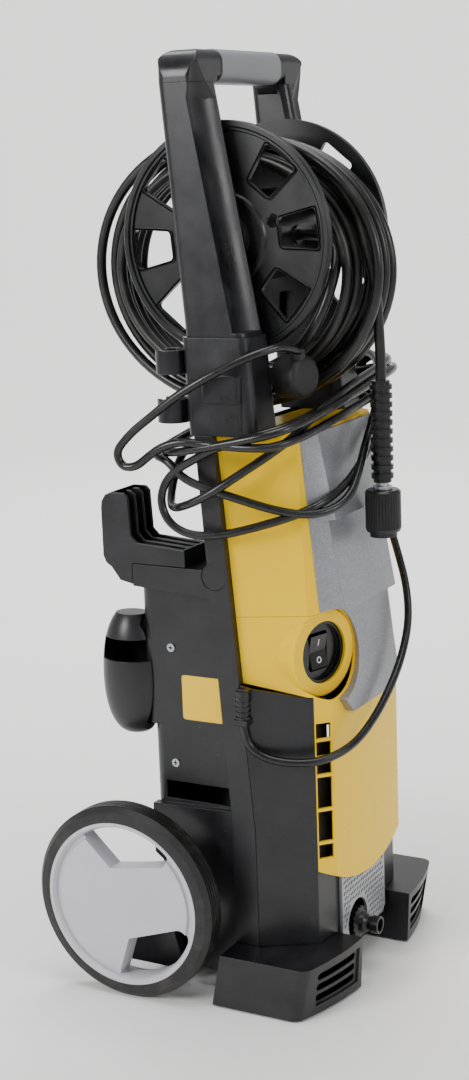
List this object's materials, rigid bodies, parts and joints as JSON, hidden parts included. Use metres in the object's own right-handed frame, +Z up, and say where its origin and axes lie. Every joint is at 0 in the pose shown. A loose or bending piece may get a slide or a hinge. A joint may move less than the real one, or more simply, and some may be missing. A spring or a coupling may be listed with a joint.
{
  "type": "pressure washer",
  "caption": "Upright wheeled electric pressure washer with a hose reel under its handle, front covers, rocker switch, and hose and mains cable wound on.",
  "frame": {"origin": "on the ground, at the middle of the machine's footprint box", "axes": "+Z up, the front with its covers and water inlet faces -Y, +X is across the machine along the wheel axle"},
  "size_m": [0.337, 0.3195, 0.8908],
  "materials": {
    "body_black": "fine moulded grain, satin",
    "socket_black": "fine moulded grain, satin",
    "cover_yellow": "smooth moulded, semi-gloss",
    "trim_silver": "silver painted plastic, satin",
    "rim_silver": "light silver plastic",
    "tyre_black": "matt rubber",
    "grille_silver": "silver plastic, pierced",
    "reel_black": "moulded, satin",
    "grip_grey": "grey plastic, fine grain",
    "switch_black": "smooth black",
    "hose_rubber": "satin rubber",
    "cable_rubber": "satin rubber",
    "fitting_black": "moulded, satin",
    "steel": "zinc plated",
    "chrome_pin": "nickel plated",
    "pump_alloy": "die cast",
    "brass": "machined",
    "rubber_pad": "matt"
  },
  "bodies": {
    "machine": {"axle": "steel", "axle_clips": "steel", "axle_washers": "steel", "base_frame": "body_black", "cable_bundle": "cable_rubber", "cable_front_loop": "cable_rubber", "cable_gland": "fitting_black", "cable_hook": "body_black", "cable_lead": "cable_rubber", "cable_rail_loop": "cable_rubber", "cable_side_loop": "cable_rubber", "cable_tail": "cable_rubber", "capacitor": "fitting_black", "crossbar": "socket_black", "foot_pads": "rubber_pad", "front_housing": "body_black", "grille": "grille_silver", "grip_insert": "grip_grey", "hose_bend_relief": "fitting_black", "hose_coil": "hose_rubber", "hose_stem": "chrome_pin", "hose_tail": "hose_rubber", "housing_screws": "steel", "inlet_connector": "fitting_black", "inlet_filter": "steel", "lance_clips": "socket_black", "left_socket": "socket_black", "left_upright": "socket_black", "lower_cover": "cover_yellow", "lower_trim": "trim_silver", "mains_plug": "cable_rubber", "motor": "pump_alloy", "plug_pins": "chrome_pin", "pump_crankcase": "pump_alloy", "pump_head": "brass", "rail_caps": "body_black", "rear_housing": "body_black", "rear_pocket": "body_black", "reel_feed_pipe": "hose_rubber", "reel_pivots": "body_black", "right_socket": "socket_black", "right_upright": "socket_black", "switch_well": "switch_black", "upper_cover": "cover_yellow", "upper_trim": "trim_silver"},
    "left_wheel": {"left_rim": "rim_silver", "left_tyre": "tyre_black"},
    "right_wheel": {"right_rim": "rim_silver", "right_tyre": "tyre_black"},
    "hose_reel": {"reel_left_flange": "reel_black", "reel_right_flange": "reel_black", "reel_drum": "reel_black", "winding_pegs": "reel_black"},
    "power_switch": {"power_rocker": "switch_black"},
    "fan_rotor": {"motor_fan": "fitting_black"},
    "hose_coupling": {"hose_nut": "fitting_black"}
  },
  "joints": [
    {"name": "left_wheel_spin", "type": "hinge", "parent": "machine", "child": "left_wheel", "pos_m": [-0.15, 0.053, 0.0965], "axis": [1, 0, 0], "continuous": true},
    {"name": "right_wheel_spin", "type": "hinge", "parent": "machine", "child": "right_wheel", "pos_m": [0.15, 0.053, 0.0965], "axis": [1, 0, 0], "continuous": true},
    {"name": "reel_spin", "type": "hinge", "parent": "machine", "child": "hose_reel", "pos_m": [0, -0.0296, 0.721], "axis": [1, 0, 0], "continuous": true},
    {"name": "power_rocker_tilt", "type": "hinge", "parent": "machine", "child": "power_switch", "pos_m": [-0.05786, -0.10488, 0.3371], "axis": [0.9613, -0.2756, 0], "range_deg": [-10, 10]},
    {"name": "fan_spin", "type": "hinge", "parent": "machine", "child": "fan_rotor", "pos_m": [0, -0.025, 0.28], "axis": [0, 0, 1], "continuous": true},
    {"name": "hose_nut_spin", "type": "hinge", "parent": "machine", "child": "hose_coupling", "pos_m": [0.004, -0.153, 0.464], "axis": [0, 0, 1], "continuous": true}
  ]
}
